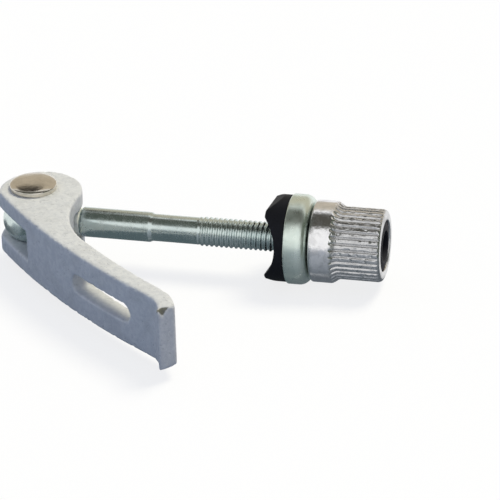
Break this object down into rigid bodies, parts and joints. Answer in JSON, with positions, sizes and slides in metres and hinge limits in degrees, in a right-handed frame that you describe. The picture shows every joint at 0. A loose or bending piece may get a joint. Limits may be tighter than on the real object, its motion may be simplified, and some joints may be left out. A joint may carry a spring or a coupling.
{
  "type": "quick-release seat binder bolt",
  "caption": "Quick-release seat binder bolt: eye bolt with a cam lever on a riveted pivot, saddle pad, steel washer and a knurled nut with a nylon locking ring.",
  "frame": {"origin": "middle of the thick shank on the bolt's axis", "axes": "+X along the bolt from the lever to the nut, +Z along the lever's pivot, +Y away from the lever's blade"},
  "size_m": [0.0787, 0.0546, 0.018],
  "materials": {
    "zinc_steel": "zinc plated, satin",
    "cast_lever": "silver-white lacquer on a die casting",
    "nickel": "nickel plated, polished",
    "black_plastic": "moulded, matte",
    "chrome_nut": "chrome plated"
  },
  "bodies": {
    "bolt": {"eye_bolt": "zinc_steel"},
    "lever": {"cam_lever": "cast_lever", "pivot_rivet": "nickel"},
    "washer": {"steel_washer": "zinc_steel"},
    "saddle": {"saddle_pad": "black_plastic"},
    "nut": {"knurled_nut": "chrome_nut", "nylon_insert": "black_plastic"}
  },
  "joints": [
    {"name": "lever_swing", "type": "hinge", "parent": "bolt", "child": "lever", "pos_m": [-0.01655, 0, 0], "axis": [0, 0, 1], "range_deg": [-255, 10]},
    {"name": "nut_travel", "type": "slide", "parent": "bolt", "child": "washer", "axis": [1, 0, 0], "range_m": [-0.023, 0.005]},
    {"name": "saddle_slide", "type": "slide", "parent": "washer", "child": "saddle", "axis": [1, 0, 0], "range_m": [-0.01, 0]},
    {"name": "nut_turn", "type": "hinge", "parent": "washer", "child": "nut", "pos_m": [0.045, 0, 0], "axis": [1, 0, 0], "range_deg": [-8280, 1800]}
  ],
  "couplings": [
    {"joint": "nut_travel", "follows": "nut_turn", "m_per_rad": 0.00015915}
  ]
}
